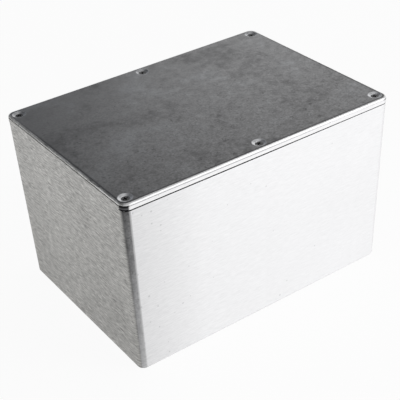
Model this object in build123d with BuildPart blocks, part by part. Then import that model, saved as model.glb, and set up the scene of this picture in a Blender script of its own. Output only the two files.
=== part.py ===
from build123d import *
import math
import os

# Die cast aluminium box with a screwed lid.
# Frame: +X along the length, +Y across towards the back, +Z up, origin at the middle of the underside.
# All lengths are in millimetres and all angles in degrees.

# Overall
lid_length = 171.4
lid_width = 121.2
body_height = 101.0
lid_thickness = 4.0
cut_overrun = 1.0

# Outside of the body
lid_overhang = 0.2
wall_draft = 1.35
rim_corner_radius = 4.2
base_corner_radius = 3.8
base_edge_radius = 0.8
seam_edge_radius = 0.15

# Inside of the body
rim_wall = 3.0
base_wall = 3.4
floor_thickness = 3.2
floor_fillet_radius = 1.1

# Lid
lid_corner_radius = 4.5
lid_edge_radius = 1.3
parting_height = 0.2            # fine groove under the rounded edge, where the die parted
parting_depth = 0.15
lid_panel_recess = 0.6          # the underside inside the tongue is this much higher
seam_gap = 0.45                 # shadow gap over the body, along the long sides and round the corners
seam_gap_reach = 0.9            # how far in from the lid's outline the gap goes
tongue_width = 1.8
tongue_depth = 2.0
tongue_clearance = 0.3
tongue_edge_radius = 0.4

# Bosses under the screws
boss_margin = 0.7               # how far the boss reaches past the dish above it
boss_growth = 0.9               # added to the radius from rim to floor
boss_root_fillet = 1.4

# Screws and the holes that take them
thread_diameter = 2.5
thread_clearance = 0.1
screw_length = 10.0
screw_tip_chamfer = 0.4
head_diameter = 4.4
head_sink = 0.1                 # the head's top lies this far below the dish's floor
head_cone = 90
shank_hole_diameter = 2.9
hole_spare_depth = 3.0
hole_mouth_chamfer = 0.3
dish_diameter = 7.4             # shallow cast dish round each screw
dish_depth = 0.65
dish_inset_x = 1.7              # from the lid's ends to the rim of the nearest dish
dish_inset_y = 2.25             # from the lid's long sides to the rim of the nearest dish
recess_span = 2.8
recess_wing = 0.75
recess_core = 1.5
recess_depth = 1.2
recess_draft = 6
recess_turn_step = 37           # each screw stops at its own angle

# Ejector pin marks, inside the box and under the lid
mark_diameter = 6.0
mark_depth = 0.25
marks_along = 3
marks_across = 2
mark_spacing_share = 0.36       # of the floor's length and width

# Worked out from those
body_length = lid_length - 2 * lid_overhang
body_width = lid_width - 2 * lid_overhang
draft_shift = body_height * math.tan(math.radians(wall_draft))
base_length = body_length - 2 * draft_shift
base_width = body_width - 2 * draft_shift
cavity_length = body_length - 2 * rim_wall
cavity_width = body_width - 2 * rim_wall
floor_length = base_length - 2 * base_wall
floor_width = base_width - 2 * base_wall
cutter_length = lid_length + 2 * cut_overrun
cutter_width = lid_width + 2 * cut_overrun
lid_top = body_height + lid_thickness
screw_x = lid_length / 2 - dish_inset_x - dish_diameter / 2
screw_y = lid_width / 2 - dish_inset_y - dish_diameter / 2
boss_radius = dish_diameter / 2 + boss_margin
cone_slope = math.tan(math.radians(head_cone / 2))
countersink_diameter = head_diameter + 2 * head_sink * cone_slope
dish_floor = lid_top - dish_depth
dish_width = (dish_diameter - countersink_diameter) / 2
dish_cone = 2 * math.degrees(math.atan2(dish_width, dish_depth))
head_top = dish_floor - head_sink
head_height = (head_diameter - thread_diameter) / 2 / cone_slope
screw_tip = head_top - screw_length
tapped_diameter = thread_diameter + 2 * thread_clearance
tapped_depth = body_height - screw_tip + hole_spare_depth

screw_places = {
    "front_left": (-screw_x, -screw_y),
    "front_middle": (0, -screw_y),
    "front_right": (screw_x, -screw_y),
    "back_left": (-screw_x, screw_y),
    "back_middle": (0, screw_y),
    "back_right": (screw_x, screw_y),
}

os.makedirs("parts", exist_ok=True)


def screw_points(height):
    """The six screw places at one height."""
    return [(x, y, height) for x, y in screw_places.values()]


def cavity_outline(plane, length, width, boss):
    """Section of the inside at one height: a rectangle with a round boss at each screw place."""
    with BuildSketch(plane) as outline:
        Rectangle(length, width)
        with Locations(*screw_places.values()):
            Circle(boss, mode=Mode.SUBTRACT)
        fillet(outline.vertices(), boss_root_fillet)
    return outline.sketch


def ring_outline(reach):
    """A ring from well outside the lid to this far in from its outline."""
    with BuildSketch() as ring:
        Rectangle(cutter_length, cutter_width)
        RectangleRounded(
            lid_length - 2 * reach,
            lid_width - 2 * reach,
            lid_corner_radius - reach,
            mode=Mode.SUBTRACT,
        )
    return ring.sketch


def mark_places(plane):
    """The ejector pin marks' places on one plane."""
    spacing = (floor_length * mark_spacing_share, floor_width * mark_spacing_share)
    return [plane * place for place in GridLocations(*spacing, marks_along, marks_across)]


# The inside of the box, as one solid to cut away, wider at the rim than at the floor
rim_plane = Plane.XY.offset(body_height)
floor_plane = Plane.XY.offset(floor_thickness)
panel_plane = Plane((0, 0, body_height + lid_panel_recess), z_dir=(0, 0, -1))
rim_section = cavity_outline(rim_plane, cavity_length, cavity_width, boss_radius)
floor_section = cavity_outline(floor_plane, floor_length, floor_width, boss_radius + boss_growth)

with BuildPart() as cavity:
    add(floor_section)
    add(rim_section)
    loft(ruled=True)
    fillet(cavity.faces().sort_by(Axis.Z)[0].edges(), floor_fillet_radius)

# Body: drafted walls and rounded upright corners, open at the top
with BuildPart() as box_body:
    with BuildSketch():
        RectangleRounded(base_length, base_width, base_corner_radius)
    with BuildSketch(rim_plane):
        RectangleRounded(body_length, body_width, rim_corner_radius)
    loft(ruled=True)
    fillet(box_body.faces().sort_by(Axis.Z)[0].edges(), base_edge_radius)
    fillet(box_body.faces().sort_by(Axis.Z)[-1].edges(), seam_edge_radius)
    add(cavity.part, mode=Mode.SUBTRACT)
    with Locations(*screw_points(body_height)):
        CounterSinkHole(
            tapped_diameter / 2,
            tapped_diameter / 2 + hole_mouth_chamfer,
            tapped_depth,
            head_cone,
        )
    with Locations(*mark_places(floor_plane)):
        Hole(mark_diameter / 2, mark_depth)
box_body.part.label = "box_body"
export_step(box_body.part, "parts/box_body.step")

# Lid: a plate with a rounded edge over a parting groove, cut back underneath for the gap at the seam,
# and a tongue that fits inside the walls
groove_plane = Plane.XY.offset(lid_top - lid_edge_radius)

with BuildPart() as lid:
    with BuildSketch(rim_plane):
        RectangleRounded(lid_length, lid_width, lid_corner_radius)
    extrude(amount=lid_thickness)
    fillet(lid.faces().sort_by(Axis.Z)[-1].edges(), lid_edge_radius)
    fillet(lid.faces().sort_by(Axis.Z)[0].edges(), seam_edge_radius)
    with BuildSketch(groove_plane):
        add(ring_outline(parting_depth))
    extrude(amount=-parting_height, mode=Mode.SUBTRACT)
    with BuildSketch(rim_plane):
        add(ring_outline(seam_gap_reach))
        Rectangle(cutter_length, lid_width - 2 * lid_corner_radius, mode=Mode.SUBTRACT)
    extrude(amount=seam_gap, mode=Mode.SUBTRACT)
    with BuildSketch(rim_plane) as tongue:
        add(rim_section)
        offset(amount=-tongue_clearance)
    with BuildSketch(rim_plane) as panel:
        add(rim_section)
        offset(amount=-(tongue_clearance + tongue_width))
    extrude(tongue.sketch, amount=-tongue_depth)
    fillet(lid.faces().sort_by(Axis.Z)[0].outer_wire().edges(), tongue_edge_radius)
    extrude(panel.sketch, amount=-(tongue_depth + cut_overrun), mode=Mode.SUBTRACT)
    extrude(panel.sketch, amount=lid_panel_recess, mode=Mode.SUBTRACT)
    with Locations(*screw_points(lid_top)):
        CounterSinkHole(countersink_diameter / 2, dish_diameter / 2, dish_depth, dish_cone)
    with Locations(*screw_points(dish_floor)):
        CounterSinkHole(shank_hole_diameter / 2, countersink_diameter / 2, None, head_cone)
    with Locations(*mark_places(panel_plane)):
        Hole(mark_diameter / 2, mark_depth)
lid.part.label = "lid"
export_step(lid.part, "parts/lid.step")


def build_screw(name, turn):
    """Countersunk cross-recess screw, seated in the lid at one screw place."""
    x, y = screw_places[name]
    side = Plane(origin=(x, y, 0), x_dir=(1, 0, 0), z_dir=(0, -1, 0))
    top = Plane(origin=(x, y, head_top)).rotated((0, 0, turn))
    shank = thread_diameter / 2
    with BuildPart() as screw:
        with BuildSketch(side):
            with BuildLine():
                Polyline(
                    (0, head_top),
                    (head_diameter / 2, head_top),
                    (shank, head_top - head_height),
                    (shank, screw_tip + screw_tip_chamfer),
                    (shank - screw_tip_chamfer, screw_tip),
                    (0, screw_tip),
                    close=True,
                )
            make_face()
        revolve(axis=Axis((x, y, 0), (0, 0, 1)))
        with BuildSketch(top):
            Rectangle(recess_span, recess_wing)
            Rectangle(recess_wing, recess_span)
            Circle(recess_core / 2)
        extrude(amount=-recess_depth, taper=recess_draft, mode=Mode.SUBTRACT)
    screw.part.label = f"lid_screw_{name}"
    return screw.part


for index, place in enumerate(screw_places):
    lid_screw = build_screw(place, index * recess_turn_step)
    export_step(lid_screw, f"parts/{lid_screw.label}.step")
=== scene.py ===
import math

import bpy
from mathutils import Matrix, Vector


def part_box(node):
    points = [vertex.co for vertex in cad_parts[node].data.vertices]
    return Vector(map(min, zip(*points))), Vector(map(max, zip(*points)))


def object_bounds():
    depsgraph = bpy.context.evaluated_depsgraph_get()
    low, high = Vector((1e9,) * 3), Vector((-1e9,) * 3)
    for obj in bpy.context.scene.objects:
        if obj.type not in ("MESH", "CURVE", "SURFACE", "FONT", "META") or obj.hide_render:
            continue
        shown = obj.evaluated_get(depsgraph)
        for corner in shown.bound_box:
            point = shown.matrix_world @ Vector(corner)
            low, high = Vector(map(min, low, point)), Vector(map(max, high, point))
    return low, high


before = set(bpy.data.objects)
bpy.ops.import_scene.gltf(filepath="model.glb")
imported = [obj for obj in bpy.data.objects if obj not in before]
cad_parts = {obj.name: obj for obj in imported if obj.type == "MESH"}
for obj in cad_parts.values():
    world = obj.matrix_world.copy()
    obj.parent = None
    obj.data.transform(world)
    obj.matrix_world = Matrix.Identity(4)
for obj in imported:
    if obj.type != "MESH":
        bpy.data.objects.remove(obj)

# Dressing for the die cast aluminium box: finishes, floor, soft light and camera.
# Metres, in the same frame as the parts: +X along the box, +Y to the back, +Z up.

mm = 0.001
hair = 0.01 * mm                # less than any step in the shape
noiseSpan = (0.3, 0.7)          # where nearly all the values of a noise texture lie
cadLow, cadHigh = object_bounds()
lidLow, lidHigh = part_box("lid")
bodyLow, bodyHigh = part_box("box_body")
screwLow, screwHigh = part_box("lid_screw_back_right")
screwNodes = sorted(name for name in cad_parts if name.startswith("lid_screw_"))


def toLinear(hexColour):
    # sRGB hex to the linear colour that the shaders want
    channels = [int(hexColour[place:place + 2], 16) / 255 for place in (1, 3, 5)]
    linear = [c / 12.92 if c <= 0.04045 else ((c + 0.055) / 1.055) ** 2.4 for c in channels]
    return (*linear, 1)


def addNode(tree, kind, inputs=(), **settings):
    # one node with its settings, fed in the order of its sockets or by their names,
    # with plain values or with the outputs of other nodes
    node = tree.nodes.new(kind)
    for name, value in settings.items():
        setattr(node, name, value)
    sockets = [socket for socket in node.inputs if socket.enabled]
    for key, value in inputs.items() if isinstance(inputs, dict) else enumerate(inputs):
        socket = node.inputs[key] if isinstance(key, str) else sockets[key]
        if isinstance(value, bpy.types.NodeSocket):
            tree.links.new(value, socket)
        else:
            socket.default_value = value
    return next((socket for socket in node.outputs if socket.enabled), None)


# Castings
castSkin = {
    "base": "#959596",          # grey oxide skin left by the die
    "pale": "#a1a2a4",
    "dark": "#7d7d7e",
    "darkLevels": (0.34, 0.5),  # where the clouds turn from dark to base, and from base to pale
    "paleLevels": (0.5, 0.66),
    "roughness": 0.4,
    "roughnessSwing": 0.06,
    "cloud": 34 * mm,           # where the metal met as it filled the die
    "mottle": 5 * mm,
    "mottleShare": (0.42, 0.12),    # of the mottling against the clouds, from the front to the back
    "speck": 1.1 * mm,          # drawn about three times as coarse as the real skin, so that it shows
    "speckDepth": 0.16,
    "speckHeight": 0.3,         # share of the specks in the bump, against the mottling
    "grit": (1.5, 0.45),        # the skin is rougher along the front long side than along the back one
    "fleck": 2.2 * mm,          # small dark marks where the metal froze early
    "fleckLevels": (0.61, 0.74),
    "fleckShade": 0.68,
}
groundSide = {
    "longSide": "#f3f3f4",
    "end": "#c4c3c0",           # painted shade: the ends are darker than the long sides, most of all at the foot
    "endFootShaded": "#aeadaa",
    "roughness": 0.47,
    "anisotropic": 0.8,
    "scratchWidth": 0.5 * mm,   # a 120 grit belt leaves about 0.15 mm, drawn three times as coarse to show
    "scratchLength": 12 * mm,
    "endDepth": 0.56,           # how much lighter or darker a scratch is on an end
    "longSideDepth": (0.08, 0.045),     # and on a long side, which had a finer belt, from left to middle
    "scratchLevels": (0.35, 0.65),
    "finer": (3, 1, 0.8),       # finer scratches are this much shorter, and a little wider
    "apart": 37,                # sets the noise of the ends far from that of the long sides
    "pass": 30 * mm,            # length over which the belt's pressure changed
    "roughnessSwing": 0.03,
    "pit": 5 * mm,              # spacing of the places where the belt could open a small pit
    "pitLeast": (0.6, 0.97),    # share of those places without one, at the left and nearer the middle
    "pitReach": 0.3,            # how near the middle, as a share of the half length
    "pitRadius": 0.15,          # of the largest, as a share of the spacing
    "pitRim": 0.05,
    "pitShade": 0.8,
}
bumpDepth = 0.03 * mm


def castSkinLook(tree, place):
    # as cast aluminium: cold flow clouds, mottling and fine specks in a dull grey skin
    clouds = addNode(tree, "ShaderNodeTexNoise", {
        "Vector": place, "Scale": 1 / castSkin["cloud"], "Detail": 4, "Roughness": 0.55, "Distortion": 0.7})
    mottle = addNode(tree, "ShaderNodeTexNoise", {
        "Vector": place, "Scale": 1 / castSkin["mottle"], "Detail": 4, "Roughness": 0.62,
        "Distortion": 0.3})
    specks = addNode(tree, "ShaderNodeTexNoise", {
        "Vector": place, "Scale": 1 / castSkin["speck"], "Detail": 2, "Roughness": 0.6})
    across = addNode(tree, "ShaderNodeSeparateXYZ", [place]).node.outputs["Y"]
    mottled = addNode(tree, "ShaderNodeMapRange", [across, lidLow.y, lidHigh.y, *castSkin["mottleShare"]])
    mixed = addNode(tree, "ShaderNodeMix", [mottled, clouds, mottle], data_type="FLOAT")
    low = addNode(tree, "ShaderNodeMapRange", [mixed, *castSkin["darkLevels"], 0, 1],
                  interpolation_type="SMOOTHSTEP")
    high = addNode(tree, "ShaderNodeMapRange", [mixed, *castSkin["paleLevels"], 0, 1],
                   interpolation_type="SMOOTHSTEP")
    dark, base = toLinear(castSkin["dark"]), toLinear(castSkin["base"])
    colour = addNode(tree, "ShaderNodeMix", [low, dark, base], data_type="RGBA")
    colour = addNode(tree, "ShaderNodeMix", [high, colour, toLinear(castSkin["pale"])], data_type="RGBA")
    grit = addNode(tree, "ShaderNodeMapRange", [across, lidLow.y, lidHigh.y, *castSkin["grit"]])
    swing = addNode(tree, "ShaderNodeMapRange", [
        specks, *noiseSpan, -castSkin["speckDepth"], castSkin["speckDepth"]])
    shade = addNode(tree, "ShaderNodeMath", [swing, grit, 1], operation="MULTIPLY_ADD")
    colour = addNode(tree, "ShaderNodeVectorMath", {0: colour, "Scale": shade}, operation="SCALE")
    flecks = addNode(tree, "ShaderNodeTexNoise", {
        "Vector": place, "Scale": 1 / castSkin["fleck"], "Detail": 2, "Roughness": 0.5, "Distortion": 1.2})
    swing = addNode(tree, "ShaderNodeMapRange", [
        flecks, *castSkin["fleckLevels"], 0, castSkin["fleckShade"] - 1])
    shade = addNode(tree, "ShaderNodeMath", [swing, grit, 1], operation="MULTIPLY_ADD")
    colour = addNode(tree, "ShaderNodeVectorMath", {0: colour, "Scale": shade}, operation="SCALE")
    roughness, swing = castSkin["roughness"], castSkin["roughnessSwing"]
    roughness = addNode(tree, "ShaderNodeMapRange", [
        mottle, *noiseSpan, roughness + swing, roughness - swing])
    height = addNode(tree, "ShaderNodeMix", [castSkin["speckHeight"], mottle, specks], data_type="FLOAT")
    return colour, roughness, height


def groundLook(tree, place, facing):
    # belt ground aluminium: short fine scratches along the side, level with the base, a soft sheen that
    # stretches up and down, and a few small pits, drawn as darker spots of painted shade
    size = addNode(tree, "ShaderNodeVectorMath", [facing], operation="ABSOLUTE")
    turn = addNode(tree, "ShaderNodeSeparateXYZ", [size]).node.outputs
    spot = addNode(tree, "ShaderNodeSeparateXYZ", [place]).node.outputs
    onEnd = addNode(tree, "ShaderNodeMath", [turn["X"], turn["Y"]], operation="GREATER_THAN")
    along = addNode(tree, "ShaderNodeMix", [onEnd, spot["X"], spot["Y"]], data_type="FLOAT")
    level = addNode(tree, "ShaderNodeCombineXYZ", [along, onEnd, spot["Z"]])
    stretch = (1 / groundSide["scratchLength"], groundSide["apart"], 1 / groundSide["scratchWidth"])
    drawn = addNode(tree, "ShaderNodeVectorMath", [level, stretch], operation="MULTIPLY")
    scratches = addNode(tree, "ShaderNodeTexNoise", {
        "Vector": drawn, "Scale": 1, "Detail": 3, "Roughness": 0.65})
    finer = addNode(tree, "ShaderNodeVectorMath", [drawn, groundSide["finer"]], operation="MULTIPLY")
    broken = addNode(tree, "ShaderNodeTexNoise", {
        "Vector": finer, "Scale": 1, "Detail": 2, "Roughness": 0.6})
    grain = addNode(tree, "ShaderNodeMix", [0.5, scratches, broken], data_type="FLOAT")
    depth = addNode(tree, "ShaderNodeMapRange", [spot["X"], bodyLow.x, 0, *groundSide["longSideDepth"]])
    depth = addNode(tree, "ShaderNodeMix", [onEnd, depth, groundSide["endDepth"]], data_type="FLOAT")
    swing = addNode(tree, "ShaderNodeMapRange", [grain, *groundSide["scratchLevels"], -1, 1])
    shade = addNode(tree, "ShaderNodeMath", [swing, depth, 1], operation="MULTIPLY_ADD")
    rise = addNode(tree, "ShaderNodeMapRange", [spot["Z"], bodyLow.z, bodyHigh.z, 0, 1])
    # the ends' colours carry painted shade, darker towards the foot
    shadedFoot, end, longSide = (toLinear(groundSide[name]) for name in ("endFootShaded", "end", "longSide"))
    colour = addNode(tree, "ShaderNodeMix", [rise, shadedFoot, end], data_type="RGBA")
    colour = addNode(tree, "ShaderNodeMix", [onEnd, longSide, colour], data_type="RGBA")
    colour = addNode(tree, "ShaderNodeVectorMath", {0: colour, "Scale": shade}, operation="SCALE")
    passes = addNode(tree, "ShaderNodeTexNoise", {
        "Vector": level, "Scale": 1 / groundSide["pass"], "Detail": 3})
    roughness, swing = groundSide["roughness"], groundSide["roughnessSwing"]
    roughness = addNode(tree, "ShaderNodeMapRange", [
        passes, *noiseSpan, roughness - swing, roughness + swing])
    sheet = addNode(tree, "ShaderNodeCombineXYZ", [along, spot["Z"]])
    cells = addNode(tree, "ShaderNodeTexVoronoi", {"Vector": sheet, "Scale": 1 / groundSide["pit"]},
                    voronoi_dimensions="2D")
    few = addNode(tree, "ShaderNodeSeparateXYZ", [cells.node.outputs["Color"]])
    least = addNode(tree, "ShaderNodeMapRange", [
        spot["X"], bodyLow.x, groundSide["pitReach"] * bodyLow.x, *groundSide["pitLeast"]])
    reach = addNode(tree, "ShaderNodeMapRange", [few, least, 1, 0, groundSide["pitRadius"]])
    pits = addNode(tree, "ShaderNodeMath", [reach, cells], operation="SUBTRACT")
    pits = addNode(tree, "ShaderNodeMapRange", [pits, 0, groundSide["pitRim"], 0, 1])
    # painted shade: the pits are only darker spots, not hollows
    shade = addNode(tree, "ShaderNodeMix", [pits, 1, groundSide["pitShade"]], data_type="FLOAT")
    colour = addNode(tree, "ShaderNodeVectorMath", {0: colour, "Scale": shade}, operation="SCALE")
    return colour, roughness, grain


def metalSurface(tree, colour, roughness, height, anisotropic):
    # the belt ran level, so the highlight spreads up and down
    bump = addNode(tree, "ShaderNodeBump", {"Height": height, "Distance": bumpDepth, "Strength": 1})
    tangent = addNode(tree, "ShaderNodeTangent", direction_type="RADIAL", axis="Z")
    shader = addNode(tree, "ShaderNodeBsdfPrincipled", {
        "Base Color": colour, "Metallic": 1, "Roughness": roughness, "Anisotropic": anisotropic,
        "Anisotropic Rotation": 0.25, "Tangent": tangent, "Normal": bump})
    addNode(tree, "ShaderNodeOutputMaterial", {"Surface": shader})


def newMaterial(name):
    material = bpy.data.materials.new(name)
    material.use_nodes = True
    material.node_tree.nodes.clear()
    return material


bodyFinish = {
    "longSideEdge": (0, 0.28),      # how far the normal has turned where the ground long side stops
    "runOffEdge": (0.45, 0.8),      # and on the right, where the belt ran off over the corner
    "endEdgeTop": (0.1, 0.6),       # and where the ground end runs out softly, at the rim
    "endEdgeBase": (0.45, 0.95),    # and at the base, where the belt went further round
    "topShare": 0,                  # how much the belt touched the corners, at the rim and at the base
    "baseShare": 0.35,
    "cornerShadeTop": 0.36,              # painted shade: the cast corners are darker at the rim than at the base
    "cornerShadeBase": 0.76,
    "cornerLightFront": 1.55,            # and painted lighter towards the long side
    "frontTurn": (0.25, 0.8),
    "wallTilt": (0.3, 0.6),         # a normal that points further up or down than this isn't on a wall
    "fade": (1 * mm, 45 * mm),      # the long sides are a little darker towards the left end
    "fadeShade": 0.84,
    "rimBorder": 1.0 * mm,          # outer border of the rim, painted dark where the lid stands off it: painted shade in the gap, with some dirt
    "gapShadeLongSide": (0.38 * mm, 0.1 * mm),     # from the middle to the right, where the lid sits closer
    "gapShadeEnd": 0.08 * mm,
    "rimGapShade": "#1e1e1f",
}


# Body: cast skin inside, underneath and on the corner radii, with the four flat sides belt ground
def makeBodyMaterial():
    material = newMaterial("dieCastAluminiumGroundSides")
    tree = material.node_tree
    coordinates = addNode(tree, "ShaderNodeTexCoord").node.outputs
    place, facing = coordinates["Object"], coordinates["Normal"]
    spot = addNode(tree, "ShaderNodeSeparateXYZ", [place]).node.outputs
    skin, skinRough, skinHeight = castSkinLook(tree, place)
    ground, groundRough, groundHeight = groundLook(tree, place, facing)

    # the outside of the walls, and not the bottom or the rim
    sideways = addNode(tree, "ShaderNodeVectorMath", [place, (1, 1, 0)], operation="MULTIPLY")
    outward = addNode(tree, "ShaderNodeVectorMath", [sideways, facing], operation="DOT_PRODUCT")
    outside = addNode(tree, "ShaderNodeMath", [outward, 0], operation="GREATER_THAN")
    size = addNode(tree, "ShaderNodeVectorMath", [facing], operation="ABSOLUTE")
    turn = addNode(tree, "ShaderNodeSeparateXYZ", [size]).node.outputs
    upright = addNode(tree, "ShaderNodeMapRange", [turn["Z"], *bodyFinish["wallTilt"], 1, 0],
                      interpolation_type="SMOOTHSTEP")
    wall = addNode(tree, "ShaderNodeMath", [outside, upright], operation="MULTIPLY")

    # flat sides wholly, corners only a little and more so towards the base
    rise = addNode(tree, "ShaderNodeMapRange", [spot["Z"], bodyLow.z, bodyHigh.z, 0, 1])
    aspect = addNode(tree, "ShaderNodeSeparateXYZ", [facing]).node.outputs
    longSide = addNode(tree, "ShaderNodeMapRange", [turn["X"], *bodyFinish["longSideEdge"], 1, 0])
    runOff = addNode(tree, "ShaderNodeMapRange", [aspect["X"], *bodyFinish["runOffEdge"], 1, 0],
                     interpolation_type="SMOOTHSTEP")
    toRight = addNode(tree, "ShaderNodeMath", [aspect["X"], 0], operation="GREATER_THAN")
    longSide = addNode(tree, "ShaderNodeMix", [toRight, longSide, runOff], data_type="FLOAT")
    endStart, endStop = [
        addNode(tree, "ShaderNodeMix", [rise, low, high], data_type="FLOAT")
        for low, high in zip(bodyFinish["endEdgeBase"], bodyFinish["endEdgeTop"])]
    end = addNode(tree, "ShaderNodeMapRange", [turn["Y"], endStart, endStop, 1, 0],
                  interpolation_type="SMOOTHSTEP")
    flat = addNode(tree, "ShaderNodeMath", [longSide, end], operation="MAXIMUM")
    touched = addNode(tree, "ShaderNodeMix", [rise, bodyFinish["baseShare"], bodyFinish["topShare"]],
                      data_type="FLOAT")
    flat = addNode(tree, "ShaderNodeMath", [flat, touched], operation="MAXIMUM")
    share = addNode(tree, "ShaderNodeMath", [wall, flat], operation="MULTIPLY")
    # painted shade on the cast corners, darkest at the rim and lighter towards the long side
    shade = addNode(tree, "ShaderNodeMix", [rise, bodyFinish["cornerShadeBase"], bodyFinish["cornerShadeTop"]],
                    data_type="FLOAT")
    front = addNode(tree, "ShaderNodeMapRange", [
        turn["X"], *bodyFinish["frontTurn"], bodyFinish["cornerLightFront"], 1])
    shade = addNode(tree, "ShaderNodeMath", [shade, front], operation="MULTIPLY")
    shade = addNode(tree, "ShaderNodeMix", [wall, 1, shade], data_type="FLOAT")
    skin = addNode(tree, "ShaderNodeVectorMath", {0: skin, "Scale": shade}, operation="SCALE")

    quarter = addNode(tree, "ShaderNodeVectorMath", [place], operation="ABSOLUTE")
    past = addNode(tree, "ShaderNodeVectorMath", [quarter, tuple(bodyHigh)], operation="SUBTRACT")
    past = addNode(tree, "ShaderNodeSeparateXYZ", [past]).node.outputs
    onEnd = addNode(tree, "ShaderNodeMath", [past["X"], past["Y"]], operation="GREATER_THAN")
    fadeNear, fadeFar = bodyFinish["fade"]
    fade = addNode(tree, "ShaderNodeMapRange", [
        spot["X"], bodyLow.x + fadeNear, bodyLow.x + fadeFar, bodyFinish["fadeShade"], 1])
    fade = addNode(tree, "ShaderNodeMix", [onEnd, fade, 1], data_type="FLOAT")
    ground = addNode(tree, "ShaderNodeVectorMath", {0: ground, "Scale": fade}, operation="SCALE")
    colour = addNode(tree, "ShaderNodeMix", [share, skin, ground], data_type="RGBA")
    roughness = addNode(tree, "ShaderNodeMix", [share, skinRough, groundRough], data_type="FLOAT")
    height = addNode(tree, "ShaderNodeMix", [share, skinHeight, groundHeight], data_type="FLOAT")

    # painted shade, with some dirt, on the outer border of the rim under the gap at the seam
    gapShadeReach = addNode(tree, "ShaderNodeMapRange", [spot["X"], 0, bodyHigh.x, *bodyFinish["gapShadeLongSide"]])
    gapShadeReach = addNode(tree, "ShaderNodeMix", [onEnd, gapShadeReach, bodyFinish["gapShadeEnd"]], data_type="FLOAT")
    top = addNode(tree, "ShaderNodeMath", [past["Z"], gapShadeReach], operation="ADD")
    border = addNode(tree, "ShaderNodeMath", [past["X"], past["Y"]], operation="MAXIMUM")
    border = addNode(tree, "ShaderNodeMath", [border, bodyFinish["rimBorder"]], operation="ADD")
    border = addNode(tree, "ShaderNodeMath", [border, top], operation="MINIMUM")
    border = addNode(tree, "ShaderNodeMath", [border, 0], operation="GREATER_THAN")
    rimShadeColour = toLinear(bodyFinish["rimGapShade"])
    colour = addNode(tree, "ShaderNodeMix", [border, colour, rimShadeColour], data_type="RGBA")
    metalSurface(tree, colour, roughness, height, groundSide["anisotropic"])
    return material


lidFinish = {
    "edgeRadius": 1.3 * mm,
    "groundTo": (0.15 * mm, 0.35 * mm),     # how far short of the cast top the belt stopped, softly
    "groove": 0.2 * mm,         # height of the parting groove under the rounded edge
    "grooveShadeSpread": 0.17 * mm,   # and how far its painted shade spreads onto its lips
    "grooveShadeColour": "#161617",
    "grooveLongSide": (0.35, 0.05),     # the belt nearly closed it on the long sides, more so at the right
    "grooveReach": 0.6,         # where it is closed most, as a share of the half length
    "grooveTurn": (0.5 * mm, 1.5 * mm),     # how far round the corner it opens
    "edgeReflectionBand": 1.1 * mm,       # painted dark reflection, a line just inside the rounded edge
    "edgeReflectionStart": (0.2 * mm, 0.05 * mm, 0.3 * mm),   # before the edge, past it, and where it fades
    "edgeReflectionShare": 0.75,      # and none at the back
    "edgeReflectionColour": "#46474a",
    "endEdgeShade": 1.5,        # painted light: the rounded edge is lighter on the ends
    # painted shade: the rounded edge is a little darker on the long sides
    "longEdgeShade": 0.92,
    "gap": 0.45 * mm,           # height of the gap at the seam, with painted shade inside
    "lidGapShadeColour": "#1a1a1b",
    "gapRight": 0.4,            # share of that painted shade that is left at the right
    "gapInset": 0.3 * mm,
    "cornerRadius": 4.5 * mm,
    "cornerTurn": (0.12, 0.3),  # how far the normal has turned both ways on a corner
    "cornerTilt": (0.1, 0.4),   # and how far up it may point on the upright face
    "cornerWallShade": "#303032",    # painted shade on the upright face of the left corners, which the belt didn't reach
    "cornerMark": "#6c6c6e",    # with a lighter line halfway down in that painted shade
    "cornerMarkDepth": 2.7 * mm,
    "cornerMarkHeight": 0.5 * mm,
    "dishRadius": 3.7 * mm,
    "lipHighlight": 0.7 * mm,           # painted highlight: a lighter ring round each dish, for its rounded lip
    "lipHighlightShare": 0.6,
    "lipHighlightColour": "#b2b4b7",
    "frontShade": 0.88,         # painted shade: the cast top is a little darker along the front
    "dishColour": "#e2e3e5",
    "dishBackShade": 0.74,           # painted shade: the dishes along the back are darker
    "dishRoughness": 0.42,
}


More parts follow.
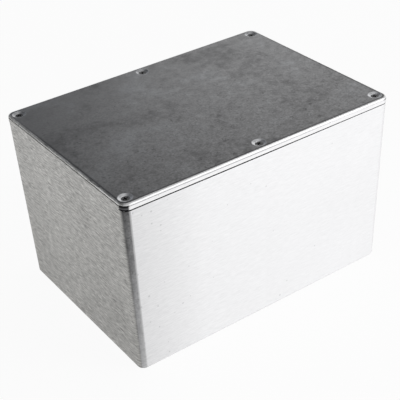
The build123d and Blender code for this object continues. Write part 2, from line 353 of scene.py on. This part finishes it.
# Lid: cast skin on top and underneath, ground rounded edge, bright dishes round the screws
def makeLidMaterial():
    material = newMaterial("dieCastAluminiumCastTop")
    tree = material.node_tree
    coordinates = addNode(tree, "ShaderNodeTexCoord").node.outputs
    place, facing = coordinates["Object"], coordinates["Normal"]
    spot = addNode(tree, "ShaderNodeSeparateXYZ", [place]).node.outputs
    skin, skinRough, skinHeight = castSkinLook(tree, place)
    ground, groundRough, groundHeight = groundLook(tree, place, facing)
    quarter = addNode(tree, "ShaderNodeVectorMath", [place], operation="ABSOLUTE")
    quarter = addNode(tree, "ShaderNodeVectorMath", [quarter, (1, 1, 0)], operation="MULTIPLY")
    size = addNode(tree, "ShaderNodeVectorMath", [facing], operation="ABSOLUTE")
    turn = addNode(tree, "ShaderNodeSeparateXYZ", [size]).node.outputs
    up = addNode(tree, "ShaderNodeSeparateXYZ", [facing]).node.outputs["Z"]

    # distance in from the lid's outline, up to the corner radius
    radius = lidFinish["cornerRadius"]
    cornerCentre = (lidHigh.x - radius, lidHigh.y - radius, 0)
    past = addNode(tree, "ShaderNodeVectorMath", [quarter, cornerCentre], operation="SUBTRACT")
    past = addNode(tree, "ShaderNodeVectorMath", [past, (0, 0, 0)], operation="MAXIMUM")
    reach = addNode(tree, "ShaderNodeVectorMath", [past], operation="LENGTH")
    fromEdge = addNode(tree, "ShaderNodeMath", [radius, reach], operation="SUBTRACT")

    # distance from the nearest screw
    screw = (screwLow + screwHigh) / 2
    toCorner = addNode(tree, "ShaderNodeVectorMath", [quarter, (screw.x, screw.y, 0)], operation="DISTANCE")
    toMiddle = addNode(tree, "ShaderNodeVectorMath", [quarter, (0, screw.y, 0)], operation="DISTANCE")
    fromScrew = addNode(tree, "ShaderNodeMath", [toCorner, toMiddle], operation="MINIMUM")

    # the painted dark reflection line, then the painted highlight ring, on the cast top
    edge = lidFinish["edgeRadius"]
    before, after, fades = lidFinish["edgeReflectionStart"]
    into = addNode(tree, "ShaderNodeMapRange", [fromEdge, edge - before, edge + after, 0, 1])
    out = addNode(tree, "ShaderNodeMapRange", [fromEdge, edge + fades, edge + lidFinish["edgeReflectionBand"], 1, 0],
                  interpolation_type="SMOOTHSTEP")
    line = addNode(tree, "ShaderNodeMath", [into, out], operation="MULTIPLY")
    fainter = addNode(tree, "ShaderNodeMapRange", [spot["Y"], 0, lidHigh.y, lidFinish["edgeReflectionShare"], 0])
    line = addNode(tree, "ShaderNodeMath", [line, fainter], operation="MULTIPLY")
    darkReflectionColour = toLinear(lidFinish["edgeReflectionColour"])
    skin = addNode(tree, "ShaderNodeMix", [line, skin, darkReflectionColour], data_type="RGBA")
    mouth = lidFinish["dishRadius"]
    # painted highlight: a lighter ring round each dish, for its rounded lip
    lipHighlight = addNode(tree, "ShaderNodeMapRange", [
        fromScrew, mouth, mouth + lidFinish["lipHighlight"], lidFinish["lipHighlightShare"], 0],
        interpolation_type="SMOOTHSTEP")
    skin = addNode(tree, "ShaderNodeMix", [lipHighlight, skin, toLinear(lidFinish["lipHighlightColour"])], data_type="RGBA")
    # painted shade: the cast top darker along the front
    frontPaintedShade = addNode(tree, "ShaderNodeMapRange", [spot["Y"], lidLow.y, 0, lidFinish["frontShade"], 1])
    skin = addNode(tree, "ShaderNodeVectorMath", {0: skin, "Scale": frontPaintedShade}, operation="SCALE")

    # ground where the rounded edge and the side are, with painted shade on the corners' upright faces
    shortest, longest = lidFinish["groundTo"]
    side = addNode(tree, "ShaderNodeMapRange", [fromEdge, edge - longest, edge - shortest, 1, 0])
    above = addNode(tree, "ShaderNodeMath", [spot["Z"], bodyHigh.z + hair], operation="GREATER_THAN")
    share = addNode(tree, "ShaderNodeMath", [side, above], operation="MULTIPLY")
    both = addNode(tree, "ShaderNodeMath", [turn["X"], turn["Y"]], operation="MINIMUM")
    corner = addNode(tree, "ShaderNodeMapRange", [both, *lidFinish["cornerTurn"], 0, 1],
                     interpolation_type="SMOOTHSTEP")
    upright = addNode(tree, "ShaderNodeMapRange", [up, *lidFinish["cornerTilt"], 1, 0],
                      interpolation_type="SMOOTHSTEP")
    toSide = addNode(tree, "ShaderNodeSeparateXYZ", [past]).node.outputs
    onEnd = addNode(tree, "ShaderNodeMath", [toSide["X"], toSide["Y"]], operation="GREATER_THAN")
    # painted light on the ends' rounded edge, painted shade on the long sides' one
    shade = addNode(tree, "ShaderNodeMix", [onEnd, lidFinish["longEdgeShade"], lidFinish["endEdgeShade"]],
                    data_type="FLOAT")
    shade = addNode(tree, "ShaderNodeMix", [upright, shade, 1], data_type="FLOAT")
    ground = addNode(tree, "ShaderNodeVectorMath", {0: ground, "Scale": shade}, operation="SCALE")
    # painted shade on the upright faces of the left corners, with a lighter line halfway down
    dark = addNode(tree, "ShaderNodeMath", [corner, upright], operation="MULTIPLY")
    toLeft = addNode(tree, "ShaderNodeMath", [spot["X"], 0], operation="LESS_THAN")
    dark = addNode(tree, "ShaderNodeMath", [dark, toLeft], operation="MULTIPLY")
    depth = addNode(tree, "ShaderNodeMath", [lidHigh.z, spot["Z"]], operation="SUBTRACT")
    fromMark = addNode(tree, "ShaderNodeMath", [depth, lidFinish["cornerMarkDepth"]], operation="SUBTRACT")
    fromMark = addNode(tree, "ShaderNodeMath", [fromMark], operation="ABSOLUTE")
    mark = addNode(tree, "ShaderNodeMapRange", [fromMark, 0, lidFinish["cornerMarkHeight"], 1, 0])
    wall = addNode(tree, "ShaderNodeMix", [
        mark, toLinear(lidFinish["cornerWallShade"]), toLinear(lidFinish["cornerMark"])], data_type="RGBA")
    ground = addNode(tree, "ShaderNodeMix", [dark, ground, wall], data_type="RGBA")

    # painted shade in the groove, weaker on the long sides
    halfGroove = lidFinish["groove"] / 2
    fromGroove = addNode(tree, "ShaderNodeMath", [depth, edge + halfGroove], operation="SUBTRACT")
    fromGroove = addNode(tree, "ShaderNodeMath", [fromGroove], operation="ABSOLUTE")
    groove = addNode(tree, "ShaderNodeMath", [fromGroove, halfGroove + lidFinish["grooveShadeSpread"]],
                     operation="LESS_THAN")
    closed = addNode(tree, "ShaderNodeMapRange", [
        spot["X"], 0, lidFinish["grooveReach"] * lidHigh.x, *lidFinish["grooveLongSide"]])
    longSide = addNode(tree, "ShaderNodeMapRange", [toSide["X"], *lidFinish["grooveTurn"], closed, 1])
    groove = addNode(tree, "ShaderNodeMath", [groove, longSide], operation="MULTIPLY")
    grooveShade = toLinear(lidFinish["grooveShadeColour"])
    ground = addNode(tree, "ShaderNodeMix", [groove, ground, grooveShade], data_type="RGBA")
    colour = addNode(tree, "ShaderNodeMix", [share, skin, ground], data_type="RGBA")
    roughness = addNode(tree, "ShaderNodeMix", [share, skinRough, groundRough], data_type="FLOAT")
    height = addNode(tree, "ShaderNodeMix", [share, skinHeight, groundHeight], data_type="FLOAT")

    # painted shade inside the gap at the seam
    low = addNode(tree, "ShaderNodeMath", [spot["Z"], bodyHigh.z + lidFinish["gap"] + hair],
                  operation="LESS_THAN")
    inside = addNode(tree, "ShaderNodeMath", [fromEdge, lidFinish["gapInset"]], operation="GREATER_THAN")
    gap = addNode(tree, "ShaderNodeMath", [low, inside], operation="MULTIPLY")
    gap = addNode(tree, "ShaderNodeMath", [gap, above], operation="MULTIPLY")
    closer = addNode(tree, "ShaderNodeMapRange", [spot["X"], 0, lidHigh.x, 1, lidFinish["gapRight"]])
    gap = addNode(tree, "ShaderNodeMath", [gap, closer], operation="MULTIPLY")
    colour = addNode(tree, "ShaderNodeMix", [gap, colour, toLinear(lidFinish["lidGapShadeColour"])],
                     data_type="RGBA")

    # clean metal in the dishes, with painted shade on those along the back
    dish = addNode(tree, "ShaderNodeMath", [fromScrew, mouth + 2 * hair], operation="LESS_THAN")
    dishShadedColour = addNode(tree, "ShaderNodeMapRange", [spot["Y"], 0, screw.y, 1, lidFinish["dishBackShade"]])
    bright = toLinear(lidFinish["dishColour"])[:3]
    dishShadedColour = addNode(tree, "ShaderNodeVectorMath", {0: bright, "Scale": dishShadedColour}, operation="SCALE")
    colour = addNode(tree, "ShaderNodeMix", [dish, colour, dishShadedColour], data_type="RGBA")
    roughness = addNode(tree, "ShaderNodeMix", [dish, roughness, lidFinish["dishRoughness"]],
                        data_type="FLOAT")
    anisotropic = addNode(tree, "ShaderNodeMath", [share, groundSide["anisotropic"]], operation="MULTIPLY")
    metalSurface(tree, colour, roughness, height, anisotropic)
    return material


screwFinish = {
    "base": "#6a6a6b",
    "worn": "#8a8a8b",
    "wear": 0.7 * mm,
    "wornLevels": (0.4, 0.7),
    "roughness": 0.4,
    "roughnessSwing": 0.08,
}


# Screws: turned and blackened steel, dull and dark grey, a little lighter where it is worn
def makeScrewMaterial():
    material = newMaterial("blackenedSteelScrew")
    tree = material.node_tree
    place = addNode(tree, "ShaderNodeTexCoord").node.outputs["Object"]
    wear = addNode(tree, "ShaderNodeTexNoise", {
        "Vector": place, "Scale": 1 / screwFinish["wear"], "Detail": 3})
    share = addNode(tree, "ShaderNodeMapRange", [wear, *screwFinish["wornLevels"], 0, 1],
                    interpolation_type="SMOOTHSTEP")
    base, worn = toLinear(screwFinish["base"]), toLinear(screwFinish["worn"])
    colour = addNode(tree, "ShaderNodeMix", [share, base, worn], data_type="RGBA")
    roughness, swing = screwFinish["roughness"], screwFinish["roughnessSwing"]
    roughness = addNode(tree, "ShaderNodeMapRange", [
        wear, *noiseSpan, roughness + swing, roughness - swing])
    metalSurface(tree, colour, roughness, wear, 0)
    return material


finishes = {"box_body": makeBodyMaterial(), "lid": makeLidMaterial()}
screwMaterial = makeScrewMaterial()
for screwNode in screwNodes:
    finishes[screwNode] = screwMaterial
for nodeName, material in finishes.items():
    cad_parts[nodeName].data.materials.clear()
    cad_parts[nodeName].data.materials.append(material)
print("finishes on", len(finishes), "nodes")

# Floor: matt white paper, even and without gloss
floorSheet = {
    "radius": 6,
    "steps": 64,
    "colour": "#fcfcfc",
    "roughness": 0.9,
    "specular": 0.2,
    "glow": 0.94,               # share of plain white that the camera and the metal see in it
}


def makeFloor():
    mesh = bpy.data.meshes.new("studioFloor")
    steps = floorSheet["steps"]
    angles = [math.tau * step / steps for step in range(steps)]
    ring = [(floorSheet["radius"] * math.cos(angle), floorSheet["radius"] * math.sin(angle), 0)
            for angle in angles]
    mesh.from_pydata(ring, [], [list(range(steps))])
    floor = bpy.data.objects.new("studioFloor", mesh)
    bpy.context.scene.collection.objects.link(floor)
    material = newMaterial("mattPaper")
    tree = material.node_tree
    paper = addNode(tree, "ShaderNodeBsdfPrincipled", {
        "Base Color": toLinear(floorSheet["colour"]), "Roughness": floorSheet["roughness"],
        "Specular IOR Level": floorSheet["specular"]})
    white = addNode(tree, "ShaderNodeEmission", {"Color": (1, 1, 1, 1), "Strength": 1})
    ray = addNode(tree, "ShaderNodeLightPath").node.outputs
    seen = addNode(tree, "ShaderNodeMath", [ray["Is Camera Ray"], ray["Is Glossy Ray"]], operation="ADD")
    seen = addNode(tree, "ShaderNodeMath", [seen, ray["Is Transmission Ray"]], operation="ADD",
                   use_clamp=True)
    share = addNode(tree, "ShaderNodeMath", [seen, floorSheet["glow"]], operation="MULTIPLY")
    shader = addNode(tree, "ShaderNodeMixShader", [share, paper, white])
    addNode(tree, "ShaderNodeOutputMaterial", {"Surface": shader})
    mesh.materials.append(material)


makeFloor()

# Light: a pale room, darker on the left and towards overhead, and one soft lamp at the front right
room = {
    "brightSide": (0.8, -0.6, 0),
    "dark": "#7c7e82",
    "bright": "#f4f4f4",
    "turn": (-0.2, -0.06),      # where the dark side turns to the bright one, from -1 to 1 across the room
    "height": (0.36, 0.6),      # and where it darkens from the horizon to overhead
    "overhead": 0.22,
    "ceiling": (0.75, 0.95),    # a pale ceiling straight above
    "ceilingShare": 0.6,
    "strength": 1.3,
}
softLamp = {
    "towards": (0.549, -0.61, 0.574),   # from the box
    "distance": 1.5,
    "size": 0.8,
    "radiance": 2.5,                    # where 1 is plain white
}


def makeRoom():
    world = bpy.data.worlds.new("paleRoom")
    world.use_nodes = True
    tree = world.node_tree
    tree.nodes.clear()
    direction = addNode(tree, "ShaderNodeTexCoord").node.outputs["Generated"]
    across = addNode(tree, "ShaderNodeVectorMath", [direction, room["brightSide"]], operation="DOT_PRODUCT")
    side = addNode(tree, "ShaderNodeMapRange", [across, *room["turn"], 0, 1],
                   interpolation_type="SMOOTHSTEP")
    colour = addNode(tree, "ShaderNodeMix", [side, toLinear(room["dark"]), toLinear(room["bright"])],
                     data_type="RGBA")
    height = addNode(tree, "ShaderNodeSeparateXYZ", [direction]).node.outputs["Z"]
    dim = addNode(tree, "ShaderNodeMapRange", [height, *room["height"], 1, room["overhead"]],
                  interpolation_type="SMOOTHSTEP")
    ceiling = addNode(tree, "ShaderNodeMapRange", [height, *room["ceiling"], 0, room["ceilingShare"]],
                      interpolation_type="SMOOTHSTEP")
    dim = addNode(tree, "ShaderNodeMath", [dim, ceiling], operation="MAXIMUM")
    strength = addNode(tree, "ShaderNodeMath", [dim, room["strength"]], operation="MULTIPLY")
    background = addNode(tree, "ShaderNodeBackground", [colour, strength])
    addNode(tree, "ShaderNodeOutputWorld", {"Surface": background})
    bpy.context.scene.world = world


def makeLamp():
    centre = (cadLow + cadHigh) / 2
    towards = Vector(softLamp["towards"]).normalized()
    data = bpy.data.lights.new("softLamp", "AREA")
    data.shape = "SQUARE"
    data.size = softLamp["size"]
    data.energy = softLamp["radiance"] * math.pi * softLamp["size"] ** 2
    lamp = bpy.data.objects.new("softLamp", data)
    lamp.location = centre + towards * softLamp["distance"]
    lamp.rotation_euler = towards.to_track_quat("Z", "Y").to_euler()
    bpy.context.scene.collection.objects.link(lamp)


makeRoom()
makeLamp()
print("floor and light ready")

# Camera
cameraPlace = {
    "azimuth": -33.831,         # degrees, from straight in front towards the left
    "elevation": 32.754,
    "roll": -3.331,
    "distance": 582.5 * mm,
    "right": -0.73 * mm,        # how far the camera stands aside of the line through the box's middle
    "up": -7.96 * mm,           # and above it
    "lens": 91.44,
    "sensor": 36,
    "clip": (0.01, 100),
}


def makeCamera():
    azimuth, elevation, roll = (
        math.radians(cameraPlace[name]) for name in ("azimuth", "elevation", "roll"))
    back = Vector((math.sin(azimuth) * math.cos(elevation), -math.cos(azimuth) * math.cos(elevation),
                   math.sin(elevation)))
    right = Vector((math.cos(azimuth), math.sin(azimuth), 0))
    facing = Matrix((right, back.cross(right), back)).transposed() @ Matrix.Rotation(roll, 3, "Z")
    aside = facing @ Vector((cameraPlace["right"], cameraPlace["up"], cameraPlace["distance"]))
    data = bpy.data.cameras.new("camera")
    data.sensor_width = cameraPlace["sensor"]
    data.lens = cameraPlace["lens"]
    data.clip_start, data.clip_end = cameraPlace["clip"]
    camera = bpy.data.objects.new("camera", data)
    camera.matrix_world = Matrix.Translation((cadLow + cadHigh) / 2 + aside) @ facing.to_4x4()
    bpy.context.scene.collection.objects.link(camera)
    bpy.context.scene.camera = camera


makeCamera()
bpy.context.scene.view_settings.view_transform = "Standard"
print("camera ready")
